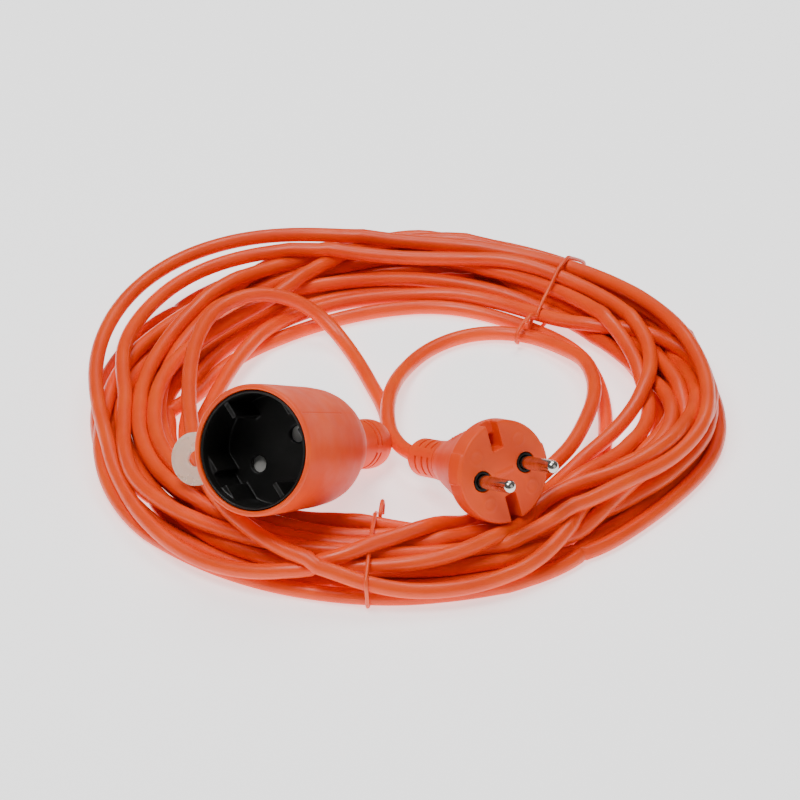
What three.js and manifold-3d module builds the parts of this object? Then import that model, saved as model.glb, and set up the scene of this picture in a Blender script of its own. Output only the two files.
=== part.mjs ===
// A coiled extension cord: a portable two-pole socket, a contour plug and about ten metres of
// round cord in one loose coil, held by two wire ties. Millimetres, +Z up. The origin is at the
// middle of the coil, on the surface that it lies on.
import * as THREE from 'three';
import { mergeVertices } from 'three/addons/utils/BufferGeometryUtils.js';
import Module from 'manifold-3d';

const wasm = await Module();
wasm.setup();

// ---- Driving dimensions ----
const GAP = 0.3; // kept between pieces that touch
const CORD_RADIUS = 2.85;
const CORE_RADIUS = 1.1;
const CORD_BORE_RADIUS = CORD_RADIUS + 1.3 * GAP;
const PIN_SPACING = 19;
const PIN_RADIUS = 2.4;
const PIN_LENGTH = 19;

// Both ends are measured along their own axis: 0 is the front face and minus is towards the cord.
const SOCKET = {
  rimRadius: 23.35,
  insertRadius: 21.1,
  cupRadius: 19.9,
  cupDepth: 19,
  floorThickness: 2.2,
  insertDepth: 21.7,
  holeRadius: 3,
  landDistance: 17.3, // from the axis to the flat lands that guide the plug
  landStart: 4,
  landSlotWidth: 5.8,
  ribWidth: 2,
  ribInner: 13.9,
  hubFlatDistance: 15.6,
  hubFlatStart: 47,
  bodyEnd: 64,
  reliefEnd: 92,
};
const SHUTTER = { front: 21.6, thickness: 1.5, wingRadius: 13.8, wingHalfAngle: 22, hubRadius: 4.2 };
const PIVOT = { radius: 1.5, front: 21.5, end: 32 };
const BLOCK = { radius: 18.2, front: 26.1, end: 46, boreRadius: 4 };
const SLEEVE = { radius: 3.7, bore: 2.5, front: 26.4, bottom: 42, tailRadius: 1.9, tailEnd: 48 };
const SPRING = { coilRadius: 2.6, wireRadius: 0.3, front: 23.7, end: 25.7, turns: 2.5 };
const EYE = {
  radius: 9.7,
  hole: 2.8,
  thickness: 1.5,
  depth: 19,
  distance: 33.9, // from the socket's axis to the hole
  angle: 152,
  tongueWidth: 8,
};
const PLUG = {
  headRadius: 18.6,
  notchWidth: 4.8,
  notchInner: 8.5,
  notchMiddle: 13.8,
  notchDepth: 10,
  topChannelDepth: 4.5,
  bodyEnd: 36.5,
  reliefStart: 36.8,
  reliefEnd: 55,
};
const BRIDGE = {
  length: 24,
  width: 8,
  front: 7,
  end: 12.5,
  collarRadius: 3.45,
  tailRadius: 1.6,
  tailEnd: 16.2,
};

const COIL = { lengthX: 242, lengthY: 239 };
// Radius and height of the coil's cross-section, counter-clockwise from its inner bottom edge.
const COIL_SECTION = [
  [120.5, 0], [121, 6.5], [116.6, 11.9], [108, 17.3], [90.7, 17.3], [85.3, 13], [79.9, 4.3], [79.9, 0],
];
const TIE_WIRE_RADIUS = 0.75;
// Radius and height of a tie's loop round that cross-section.
const TIE_LOOP = [
  [122.4, 2.8], [121.9, 7.3], [117.3, 13], [108.4, 18.5], [99.4, 18.5], [90.2, 18.5],
  [84.3, 13.9], [78.7, 4.8], [79.4, 1.7], [86.4, 1.3], [99.4, 1.3], [112.3, 1.3], [121, 1.6],
];

// Where each end lies: the centre of its front face, then the direction that the face looks in
// (heading from +X, lift above the floor) and the turn of the end about its own axis, in degrees.
const SOCKET_PLACE = { face: [-53.4, -93.1, 51.8], heading: -120.9, lift: 28.9, roll: 51 };
const PLUG_PLACE = { face: [35.7, -82.9, 35.5], heading: -55, lift: 23.6, roll: 2.2 };

// The leads' routes from the strain reliefs to the coil.
const SOCKET_LEAD_ROUTE = [
  [-9.3, -19.2, 4.4], [-7.3, -12.5, 3.3], [-6.3, -2.6, 3.1], [-8.4, 8.6, 3.2], [-12.1, 20.5, 3.2],
  [-17.8, 37.8, 3.2], [-24.8, 52.9, 4.9], [-34, 63.2, 10.8], [-44.8, 65.9, 17.8], [-55.6, 63.2, 20.7],
  [-65.3, 58.3, 20.7], [-73.4, 48.1, 20.7], [-78.8, 31.3, 20.7], [-81, 9.7, 20.7], [-80.5, -13, 20.7],
  [-78.8, -30.2, 20.7],
];
const PLUG_LEAD_ROUTE = [
  [2.2, -35, 10.9], [-1.7, -28.3, 9.7], [-5, -18.9, 9.3], [-6.2, -5.4, 9.6], [-4.3, 13.5, 7.8],
  [1.3, 32.9, 4.3], [10.8, 48.6, 3.2], [22.7, 57.8, 3.2], [36.7, 61.6, 3.2], [49.9, 55.4, 3.9],
  [60.5, 45.9, 5.4], [69.1, 33.5, 7.6], [72.4, 17.3, 9.2], [71.8, 2.2, 10.3], [68, -14, 10.8],
  [62.1, -30.2, 10.8], [54, -44.3, 11], [44.3, -58.3, 10.6], [33.5, -70.7, 10.3], [22.1, -80.5, 11.6],
  [12.4, -88.6, 17.3], [3.8, -97.2, 20.7],
];

const orange = new THREE.MeshStandardMaterial({ color: 0xff5522, roughness: 0.42 });
const black = new THREE.MeshStandardMaterial({ color: 0x1d1b18, roughness: 0.5 });
const grey = new THREE.MeshStandardMaterial({ color: 0xc4c4be, roughness: 0.5 });
const milky = new THREE.MeshStandardMaterial({ color: 0xf2e2d2, roughness: 0.4 });
const nickel = new THREE.MeshStandardMaterial({ color: 0xcfccc6, roughness: 0.15, metalness: 1 });
const brass = new THREE.MeshStandardMaterial({ color: 0xb8924a, roughness: 0.3, metalness: 1 });
const steel = new THREE.MeshStandardMaterial({ color: 0x8d9094, roughness: 0.3, metalness: 1 });
const brown = new THREE.MeshStandardMaterial({ color: 0x5b3018, roughness: 0.5 });
const blue = new THREE.MeshStandardMaterial({ color: 0x1f4fa8, roughness: 0.5 });

// ---- Shapes ----
// A profile of [radius, position along the axis] turned round local Z. A profile that doesn't
// touch the axis closes on itself.
function turned(profile, segments = 40) {
  const points = profile.map(([radius, along]) => new THREE.Vector2(radius, along));
  const onAxis = profile[0][0] === 0 && profile.at(-1)[0] === 0;
  if (!onAxis) points.push(points[0].clone());
  return new THREE.LatheGeometry(points, segments).rotateX(Math.PI / 2);
}

function box([x0, x1], [y0, y1], [z0, z1]) {
  const geometry = new THREE.BoxGeometry(x1 - x0, y1 - y0, z1 - z0);
  return geometry.translate((x0 + x1) / 2, (y0 + y1) / 2, (z0 + z1) / 2);
}

function disc(radius, [z0, z1], x = 0, y = 0, segments = 24) {
  const geometry = new THREE.CylinderGeometry(radius, radius, z1 - z0, segments).rotateX(Math.PI / 2);
  return geometry.translate(x, y, (z0 + z1) / 2);
}

function tube(points, radius, sides, spacing) {
  const curve = new THREE.CatmullRomCurve3(points, false, 'centripetal');
  const corners = [];
  for (let i = 0; i < sides; i += 1) {
    const angle = (2 * Math.PI * i) / sides;
    corners.push(new THREE.Vector2(radius * Math.cos(angle), radius * Math.sin(angle)));
  }
  const steps = Math.round(curve.getLength() / spacing);
  return new THREE.ExtrudeGeometry(new THREE.Shape(corners), { steps, extrudePath: curve });
}

// The shape that make() gives, and the same shape half a turn round the axis.
function bothSides(make) {
  return [make(), make().rotateZ(Math.PI)];
}

// ---- Cutting and joining ----
function toSolid(geometry) {
  const bare = geometry.clone();
  bare.deleteAttribute('normal');
  bare.deleteAttribute('uv');
  const merged = mergeVertices(bare, 1e-4);
  const corners = merged.index ? [...merged.index.array] : [];
  const triVerts = [];
  for (let i = 0; i < corners.length; i += 3) {
    const [a, b, c] = corners.slice(i, i + 3);
    if (a !== b && b !== c && c !== a) triVerts.push(a, b, c);
  }
  const vertProperties = new Float32Array(merged.attributes.position.array);
  return new wasm.Manifold(
    new wasm.Mesh({ numProp: 3, vertProperties, triVerts: new Uint32Array(triVerts) }),
  );
}

function toGeometry(solid) {
  const mesh = solid.getMesh();
  const geometry = new THREE.BufferGeometry();
  geometry.setAttribute('position', new THREE.BufferAttribute(mesh.vertProperties, 3));
  geometry.setIndex(new THREE.BufferAttribute(mesh.triVerts, 1));
  geometry.computeVertexNormals();
  return geometry;
}

function cut(base, ...tools) {
  return toGeometry(tools.reduce((solid, tool) => solid.subtract(toSolid(tool)), toSolid(base)));
}

function join(base, ...others) {
  return toGeometry(others.reduce((solid, other) => solid.add(toSolid(other)), toSolid(base)));
}

// ---- The two ends' own frames ----
// Local Z looks out of the front face, and local X is the line through the two pins.
function endGroup({ face, heading, lift, roll }) {
  const group = new THREE.Group();
  const [headingAngle, liftAngle, rollAngle] = [heading, lift, roll].map(THREE.MathUtils.degToRad);
  const look = new THREE.Vector3(
    Math.cos(liftAngle) * Math.cos(headingAngle),
    Math.cos(liftAngle) * Math.sin(headingAngle),
    Math.sin(liftAngle),
  );
  const level = new THREE.Vector3(-Math.sin(headingAngle), Math.cos(headingAngle), 0);
  const pinLine = level.applyAxisAngle(look, rollAngle);
  const across = new THREE.Vector3().crossVectors(look, pinLine);
  group.quaternion.setFromRotationMatrix(new THREE.Matrix4().makeBasis(pinLine, across, look));
  group.position.set(...face);
  group.updateMatrixWorld();
  return group;
}

function inPart(group, x, y, z) {
  return new THREE.Vector3(x, y, z).applyMatrix4(group.matrixWorld);
}

function addMesh(group, name, geometry, material) {
  const mesh = new THREE.Mesh(geometry, material);
  mesh.name = name;
  group.add(mesh);
}

// The two cores run from the contacts or pins, a pin spacing apart, to the end of the cord.
function coreRoute(side, start, end) {
  const half = PIN_SPACING / 2;
  const meet = 1.35;
  const length = start - end;
  return [
    [half, start], [half, start - 0.12 * length], [(half + meet) / 2, start - 0.45 * length],
    [meet, start - 0.8 * length], [meet, end],
  ].map(([x, z]) => new THREE.Vector3(side * x, 0, z));
}

// ---- Socket end ----
const SOCKET_OUTLINE = [
  [8.2, -SOCKET.bodyEnd], [11, -62.8], [14, -60], [15.9, -57], [17.6, -54], [19.4, -50.2],
  [20.5, -47.2], [21.2, -44], [21.9, -37], [22.4, -26], [23, -14], [23.3, -6],
  [SOCKET.rimRadius, -0.7], [SOCKET.rimRadius - 0.5, 0],
];

function socketHousing() {
  const seat = SOCKET.insertRadius + GAP;
  const inside = [
    [seat, 0], [seat, -SOCKET.insertDepth - GAP], [BLOCK.radius + GAP, -SOCKET.insertDepth - GAP],
    [BLOCK.radius + GAP, -BLOCK.end - GAP], [12.5, -BLOCK.end - GAP], [12.5, -53],
    [CORD_BORE_RADIUS, -59], [CORD_BORE_RADIUS, -SOCKET.bodyEnd],
  ];
  const shell = turned([...SOCKET_OUTLINE, ...inside]);
  const flats = bothSides(() => {
    return box([-26, 26], [SOCKET.hubFlatDistance, 26], [-70, -SOCKET.hubFlatStart]);
  });
  const slotHalf = EYE.thickness / 2 + GAP;
  const eyeSlot = box(
    [20, 26],
    [-EYE.tongueWidth / 2 - GAP, EYE.tongueWidth / 2 + GAP],
    [-EYE.depth - slotHalf, -EYE.depth + slotHalf],
  ).rotateZ(THREE.MathUtils.degToRad(EYE.angle));
  return cut(shell, ...flats, eyeSlot);
}

function socketInsert() {
  const { insertRadius, cupRadius, cupDepth, floorThickness, insertDepth } = SOCKET;
  const floorBack = -cupDepth - floorThickness;
  const cup = turned([
    [0, floorBack], [insertRadius - 2, floorBack], [insertRadius - 2, -insertDepth],
    [insertRadius, -insertDepth], [insertRadius, -0.9], [insertRadius - 0.5, -0.4],
    [cupRadius + 0.3, -0.4], [cupRadius, -1.2], [cupRadius, -cupDepth], [0, -cupDepth],
  ]);
  const sunk = 0.4; // how far the lands and ribs run into the wall and the floor
  const rooted = [-cupDepth - sunk, -SOCKET.landStart];
  const lands = bothSides(() => cut(
    disc(cupRadius + sunk, rooted, 0, 0, 40),
    box([-30, SOCKET.landDistance], [-30, 30], [-30, 0]),
  ));
  const half = SOCKET.landSlotWidth / 2;
  const slots = bothSides(() => {
    return box([SOCKET.landDistance - 1, cupRadius - sunk], [-half, half], [-cupDepth, 0]);
  });
  const ribHalf = SOCKET.ribWidth / 2;
  const ribs = bothSides(() => {
    return box([-ribHalf, ribHalf], [SOCKET.ribInner, cupRadius + sunk], [-cupDepth - sunk, -2]);
  });
  const holes = bothSides(() => {
    return disc(SOCKET.holeRadius, [floorBack - 1, -cupDepth + 1], PIN_SPACING / 2);
  });
  return cut(join(cup, ...lands, ...ribs), ...slots, ...holes);
}

function shutter() {
  const half = THREE.MathUtils.degToRad(SHUTTER.wingHalfAngle);
  const outline = new THREE.Shape();
  for (const middle of [0, Math.PI]) {
    outline.absarc(0, 0, SHUTTER.wingRadius, middle - half, middle + half);
    outline.absarc(0, 0, SHUTTER.hubRadius, middle + half, middle + Math.PI - half);
  }
  const hole = new THREE.Path().absarc(0, 0, PIVOT.radius + GAP, 0, 2 * Math.PI);
  outline.holes.push(hole);
  const options = { depth: SHUTTER.thickness, bevelEnabled: false, curveSegments: 8 };
  return new THREE.ExtrudeGeometry(outline, options).translate(0, 0, -SHUTTER.front - SHUTTER.thickness);
}

function shutterSpring() {
  const { coilRadius, wireRadius, front, end, turns } = SPRING;
  const points = [];
  const perTurn = 12;
  for (let i = 0; i <= turns * perTurn; i += 1) {
    const angle = (2 * Math.PI * i) / perTurn;
    const along = THREE.MathUtils.lerp(-front, -end + 0.1, i / (turns * perTurn));
    points.push(new THREE.Vector3(coilRadius * Math.cos(angle), coilRadius * Math.sin(angle), along));
  }
  return tube(points, wireRadius, 6, 1);
}

function contactBlock() {
  const { radius, front, end, boreRadius } = BLOCK;
  const bores = bothSides(() => disc(boreRadius, [-end - 1, -front + 1], PIN_SPACING / 2));
  const pivotHole = disc(PIVOT.radius + GAP, [-PIVOT.end - GAP, -front + 1]);
  return cut(disc(radius, [-end, -front], 0, 0, 36), ...bores, pivotHole);
}

function contactSleeve(side) {
  const { radius, bore, front, bottom, tailRadius, tailEnd } = SLEEVE;
  const profile = [
    [0, -tailEnd], [tailRadius, -tailEnd], [tailRadius, -bottom - 1.5], [radius, -bottom - 1.5],
    [radius, -front], [bore, -front], [bore, -bottom], [0, -bottom],
  ];
  return turned(profile, 20).translate((side * PIN_SPACING) / 2, 0, 0);
}

// A strain relief's slots are cut from its sides, so that it bends.
function reliefSlots(sides, positions, chord, reach, halfWidth, slot) {
  const tools = [];
  for (const angle of sides) {
    for (const along of positions) {
      const tool = box([chord, reach], [-halfWidth, halfWidth], [along - slot / 2, along + slot / 2]);
      tools.push(tool.rotateZ(THREE.MathUtils.degToRad(angle)));
    }
  }
  return tools;
}

function socketRelief() {
  const end = -SOCKET.reliefEnd;
  const start = -SOCKET.bodyEnd - GAP;
  const sleeve = turned([
    [CORD_BORE_RADIUS, end], [7.6, end], [9.1, end + 1.6], [9.4, end + 5], [9.2, end + 12],
    [8.2, end + 18], [7.8, start], [CORD_BORE_RADIUS, start],
  ], 32);
  return cut(sleeve, ...reliefSlots([0, 90, 180, 270], [end + 9.5, end + 12.3], 7, 12, 5.6, 1.1));
}

function hangEye() {
  const { radius, hole, thickness, depth, distance, angle, tongueWidth } = EYE;
  const span = [-depth - thickness / 2, -depth + thickness / 2];
  const clearOfBody = disc(23.1, [-depth - 5, -depth + 5], 0, 0, 40);
  const outer = cut(disc(radius, span, distance, 0, 32), clearOfBody);
  const tongue = box([21.8, distance - hole - 0.5], [-tongueWidth / 2, tongueWidth / 2], span);
  const eye = cut(join(outer, tongue), disc(hole, [-depth - 5, -depth + 5], distance, 0));
  return eye.rotateZ(THREE.MathUtils.degToRad(angle));
}

// The two conductors: which side of the axis, and the colour of the core that feeds it.
const CONDUCTORS = [
  { side: -1, position: 'left', colour: 'brown', material: brown },
  { side: 1, position: 'right', colour: 'blue', material: blue },
];

const socket = endGroup(SOCKET_PLACE);
addMesh(socket, 'socket_housing', socketHousing(), orange);
addMesh(socket, 'socket_insert', socketInsert(), black);
addMesh(socket, 'shutter', shutter(), grey);
addMesh(socket, 'shutter_pivot', disc(PIVOT.radius, [-PIVOT.end, -PIVOT.front], 0, 0, 16), steel);
addMesh(socket, 'shutter_spring', shutterSpring(), steel);
addMesh(socket, 'contact_block', contactBlock(), black);
addMesh(socket, 'socket_strain_relief', socketRelief(), orange);
addMesh(socket, 'hang_eye', hangEye(), milky);
for (const { side, position, colour, material } of CONDUCTORS) {
  addMesh(socket, `contact_sleeve_${position}`, contactSleeve(side), brass);
  const route = coreRoute(side, -SLEEVE.tailEnd - GAP, -60.1);
  addMesh(socket, `socket_core_${colour}`, tube(route, CORE_RADIUS, 8, 1.6), material);
}

// ---- Plug end ----
const PLUG_OUTLINE = [
  [8, -PLUG.bodyEnd], [8.4, -34], [10, -30], [12, -24], [14, -18], [15.8, -13], [17.2, -10],
  [PLUG.headRadius, -8], [PLUG.headRadius, -0.6], [PLUG.headRadius - 0.6, 0],
];

function plugBody() {
  const { notchWidth, notchInner, notchMiddle, notchDepth, topChannelDepth, headRadius } = PLUG;
  const solid = turned([[0, -PLUG.bodyEnd], ...PLUG_OUTLINE, [0, 0]]);
  const half = notchWidth / 2;
  const cuts = [
    box([-half, half], [-headRadius - 1, -notchInner], [-notchDepth, 1]),
    box([-half, half], [notchInner, notchMiddle], [-notchDepth, 1]),
    box([-half, half], [notchMiddle - 0.5, headRadius + 1], [-topChannelDepth, 1]),
  ];
  const halfLength = BRIDGE.length / 2 + GAP;
  const halfDepth = BRIDGE.width / 2 + GAP;
  const seat = [-BRIDGE.end - GAP, -BRIDGE.front + GAP];
  cuts.push(box([-halfLength, halfLength], [-halfDepth, halfDepth], seat));
  cuts.push(...bothSides(() => {
    return disc(BRIDGE.collarRadius + GAP, [-BRIDGE.front - 1, 1], PIN_SPACING / 2);
  }));
  cuts.push(turned([
    [0, -PLUG.bodyEnd - 1], [CORD_BORE_RADIUS, -PLUG.bodyEnd - 1], [CORD_BORE_RADIUS, -30],
    [11.6, -17.4], [11.6, -BRIDGE.end - GAP + 0.1], [0, -BRIDGE.end - GAP + 0.1],
  ], 28));
  return cut(solid, ...cuts);
}

function pinBridge() {
  const { length, width, front, end, collarRadius } = BRIDGE;
  const bar = box([-length / 2, length / 2], [-width / 2, width / 2], [-end, -front]);
  const collars = bothSides(() => disc(collarRadius, [-front - 1, -0.1], PIN_SPACING / 2));
  const bores = bothSides(() => disc(PIN_RADIUS + GAP, [-end - 1, 1], PIN_SPACING / 2));
  return cut(join(bar, ...collars), ...bores);
}

function plugPin(side) {
  const tip = PIN_LENGTH;
  const profile = [
    [0, -BRIDGE.tailEnd], [BRIDGE.tailRadius, -BRIDGE.tailEnd], [BRIDGE.tailRadius, -BRIDGE.end - GAP],
    [PIN_RADIUS, -BRIDGE.end - GAP], [PIN_RADIUS, tip - 2.2], [2.2, tip - 1], [1.5, tip - 0.3], [0, tip],
  ];
  return turned(profile, 20).translate((side * PIN_SPACING) / 2, 0, 0);
}

function plugRelief() {
  const end = -PLUG.reliefEnd;
  const start = -PLUG.reliefStart;
  const sleeve = turned([
    [CORD_BORE_RADIUS, end], [6, end], [7.15, end + 1.6], [7.15, end + 12], [7.7, start],
    [CORD_BORE_RADIUS, start],
  ], 32);
  const positions = [end + 6, end + 10.5, end + 15];
  return cut(sleeve, ...reliefSlots([0, 90, 180, 270], positions, 5.2, 9, 3.9, 1.2));
}

const plug = endGroup(PLUG_PLACE);
addMesh(plug, 'plug_body', plugBody(), orange);
addMesh(plug, 'pin_bridge', pinBridge(), black);
addMesh(plug, 'plug_strain_relief', plugRelief(), orange);
for (const { side, position, colour, material } of CONDUCTORS) {
  addMesh(plug, `plug_pin_${position}`, plugPin(side), nickel);
  const route = coreRoute(side, -BRIDGE.tailEnd - GAP, -31.1);
  addMesh(plug, `plug_core_${colour}`, tube(route, CORE_RADIUS, 8, 1.6), material);
}

// ---- Leads, coil and ties ----
const CORD_STEP = 13;

function lead(end, sheathStart, reliefEnd, route, radius = CORD_RADIUS) {
  const points = [];
  for (let i = 0; i <= 4; i += 1) {
    points.push(inPart(end, 0, 0, -THREE.MathUtils.lerp(sheathStart, reliefEnd, i / 4)));
  }
  points.push(...route.map((point) => new THREE.Vector3(...point)));
  return tube(points, radius, 10, CORD_STEP);
}

function tie(azimuth, first, tail, radius = TIE_WIRE_RADIUS) {
  const angle = THREE.MathUtils.degToRad(azimuth);
  const squash = COIL.lengthY / COIL.lengthX;
  const loop = [tail, ...TIE_LOOP.slice(first), ...TIE_LOOP.slice(0, first), tail];
  const sideStep = 1.2;
  const points = loop.map(([distance, height], i) => {
    const aside = THREE.MathUtils.lerp(sideStep, -sideStep, i / (loop.length - 1));
    const x = distance * Math.cos(angle) - aside * Math.sin(angle);
    const y = distance * Math.sin(angle) + aside * Math.cos(angle);
    return new THREE.Vector3(x, y * squash, height);
  });
  return tube(points, radius, 8, 3.2);
}

const TIES = [
  { name: 'coil_tie_front', azimuth: -96.4, first: 0, tail: [124.2, 3.5] },
  { name: 'coil_tie_rear', azimuth: 52, first: 7, tail: [77.1, 11.9] },
];
const LEADS = [
  { name: 'socket_lead', end: socket, from: 60.5, to: SOCKET.reliefEnd + 1, route: SOCKET_LEAD_ROUTE },
  { name: 'plug_lead', end: plug, from: 31.5, to: PLUG.reliefEnd + 1, route: PLUG_LEAD_ROUTE },
];

// The coil is one ring of the bundle's outer shape, pressed in where other pieces rest on it.
function coil() {
  const ring = turned(COIL_SECTION, 72).scale(1, COIL.lengthY / COIL.lengthX, 1);
  const clearance = 0.5;
  const tools = [[socket, SOCKET_OUTLINE], [plug, PLUG_OUTLINE]].map(([end, outline]) => {
    const profile = outline.map(([radius, along]) => [radius + clearance, along]);
    const solid = [[0, profile[0][1]], ...profile, [0, 0.6]];
    return turned(solid, 32).applyMatrix4(end.matrixWorld);
  });
  const { radius, depth, distance, angle } = EYE;
  const eye = disc(radius + clearance, [-depth - 1.2, -depth + 1.2], distance, 0);
  tools.push(eye.rotateZ(THREE.MathUtils.degToRad(angle)).applyMatrix4(socket.matrixWorld));
  for (const { azimuth, first, tail } of TIES) {
    tools.push(tie(azimuth, first, tail, TIE_WIRE_RADIUS + 1.3 * GAP));
  }
  for (const { end, from, to, route } of LEADS) {
    tools.push(lead(end, from, to, route, CORD_RADIUS + 1.3 * GAP));
  }
  return cut(ring, ...tools);
}

const cordSet = new THREE.Group();
cordSet.add(socket, plug);
addMesh(cordSet, 'cord_coil', coil(), orange);
for (const { name, end, from, to, route } of LEADS) {
  addMesh(cordSet, name, lead(end, from, to, route), orange);
}
for (const { name, azimuth, first, tail } of TIES) {
  addMesh(cordSet, name, tie(azimuth, first, tail), orange);
}

export default cordSet;
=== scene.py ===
"""An orange two-core extension cord, coiled and tied: the looks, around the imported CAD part."""
import math

import bmesh
import bpy
import numpy as np
from mathutils import Matrix, Vector


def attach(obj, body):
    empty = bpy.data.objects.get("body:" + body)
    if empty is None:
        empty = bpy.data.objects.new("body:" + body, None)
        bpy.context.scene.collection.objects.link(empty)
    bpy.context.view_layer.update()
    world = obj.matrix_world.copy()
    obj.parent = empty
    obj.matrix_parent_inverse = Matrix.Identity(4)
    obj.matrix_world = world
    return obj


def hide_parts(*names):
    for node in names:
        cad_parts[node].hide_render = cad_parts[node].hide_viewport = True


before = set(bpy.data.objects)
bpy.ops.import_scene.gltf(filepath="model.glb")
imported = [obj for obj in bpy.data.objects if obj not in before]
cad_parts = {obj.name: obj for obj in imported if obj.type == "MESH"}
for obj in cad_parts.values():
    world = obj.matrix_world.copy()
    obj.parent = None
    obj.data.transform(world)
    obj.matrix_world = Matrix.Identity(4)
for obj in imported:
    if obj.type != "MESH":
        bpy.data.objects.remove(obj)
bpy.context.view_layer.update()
MM = 0.001

# ---- Camera: in front of the coil, 34 degrees above the floor ----
CAMERA_ELEVATION = math.radians(34)
CAMERA_DISTANCE = 1.318
CAMERA_LENS = 155.4
CAMERA_SHIFT = -0.005, 0.0225
LOOK_AT = Vector((0, 0.004, 0))


def make_camera():
    data = bpy.data.cameras.new("camera")
    data.sensor_width = 36
    data.lens = CAMERA_LENS
    data.shift_x, data.shift_y = CAMERA_SHIFT
    camera = bpy.data.objects.new("camera", data)
    backward = Vector((0, -math.cos(CAMERA_ELEVATION), math.sin(CAMERA_ELEVATION)))
    camera.location = LOOK_AT + CAMERA_DISTANCE * backward
    camera.rotation_euler = backward.to_track_quat("Z", "Y").to_euler()
    bpy.context.scene.collection.objects.link(camera)
    bpy.context.scene.camera = camera


make_camera()

# ---- The two ends' places, as in the CAD ----
# Local Z looks out of an end's front face, local X is the line through its two pins or holes,
# and a place behind the face has a negative local z.
PIN_OFFSET = 9.5  # of a pin or a hole from the axis, in millimetres
SOCKET_RELIEF_END = 92 * MM  # behind the socket's face
SOCKET_SHEATH_START = 64.5 * MM
PLUG_RELIEF_END = 55 * MM
PLUG_SHEATH_START = 31.5 * MM


def end_place(face, heading, lift, roll):
    """The place of an end, from the middle of its front face, the heading and lift in degrees of
    the way it looks, and its turn about its own axis."""
    heading, lift, roll = (math.radians(angle) for angle in (heading, lift, roll))
    level_part = math.cos(lift)
    look = Vector((level_part * math.cos(heading), level_part * math.sin(heading), math.sin(lift)))
    level = Vector((-math.sin(heading), math.cos(heading), 0))
    pin_line = Matrix.Rotation(roll, 3, look) @ level
    across = look.cross(pin_line)
    place = Matrix((pin_line, across, look)).transposed().to_4x4()
    place.translation = face
    return place


SOCKET_PLACE = end_place(Vector((-0.0534, -0.0931, 0.0518)), -120.9, 28.9, 51)
PLUG_PLACE = end_place(Vector((0.0357, -0.0829, 0.0355)), -55, 23.6, 2.2)

# ---- The cord's facts and routes ----
CORD_DIAMETER = 5.7 * MM
CORD_RADIUS = CORD_DIAMETER / 2
# The leads' routes, from each end's strain relief to the coil, in metres.
SOCKET_LEAD_ROUTE = [
    (-0.0093, -0.0192, 0.0044), (-0.0073, -0.0125, 0.0033), (-0.0063, -0.0026, 0.0031),
    (-0.0084, 0.0086, 0.0032), (-0.0121, 0.0205, 0.0032), (-0.0178, 0.0378, 0.0032),
    (-0.0248, 0.0529, 0.0049), (-0.0340, 0.0632, 0.0108), (-0.0448, 0.0659, 0.0178),
    (-0.0556, 0.0632, 0.0207), (-0.0653, 0.0583, 0.0207), (-0.0734, 0.0481, 0.0207),
    (-0.0788, 0.0313, 0.0207), (-0.0810, 0.0097, 0.0207), (-0.0805, -0.0130, 0.0207),
    (-0.0788, -0.0302, 0.0207),
]
PLUG_LEAD_ROUTE = [
    (0.0022, -0.0350, 0.0109), (-0.0017, -0.0283, 0.0097), (-0.0050, -0.0189, 0.0093),
    (-0.0062, -0.0054, 0.0096), (-0.0043, 0.0135, 0.0078), (0.0013, 0.0329, 0.0043),
    (0.0108, 0.0486, 0.0032), (0.0227, 0.0578, 0.0032), (0.0367, 0.0616, 0.0032),
    (0.0499, 0.0554, 0.0039), (0.0605, 0.0459, 0.0054), (0.0691, 0.0335, 0.0076),
    (0.0724, 0.0173, 0.0092), (0.0718, 0.0022, 0.0103), (0.0680, -0.0140, 0.0108),
    (0.0621, -0.0302, 0.0108), (0.0540, -0.0443, 0.0110), (0.0443, -0.0583, 0.0106),
    (0.0335, -0.0707, 0.0103), (0.0221, -0.0805, 0.0116), (0.0124, -0.0886, 0.0173),
    (0.0038, -0.0972, 0.0207),
]

# The coil is a spiral of evenly spaced stations, counted by their azimuth in degrees, which runs
# on from turn to turn. It starts and ends inside the leads' routes.
COIL_TURNS = 15
STATIONS_PER_TURN = 180
LEADS_START, COIL_START = 121, 201
COIL_END, LEADS_END = 272 + 360 * COIL_TURNS, 437 + 360 * COIL_TURNS

# The bundle's inner and outer edge round the coil: azimuth in degrees, radii in millimetres.
BUNDLE_EDGES = [
    (0, 92.9, 117.4), (50, 87.5, 117), (90, 85.3, 116), (130, 86.4, 115.6), (180, 86.4, 115.6),
    (215, 88.6, 115), (240, 85, 113), (270, 78.8, 112), (300, 80, 107), (318, 82, 105),
    (335, 88, 109), (350, 92.9, 116.6), (360, 92.9, 117.4),
]

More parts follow.
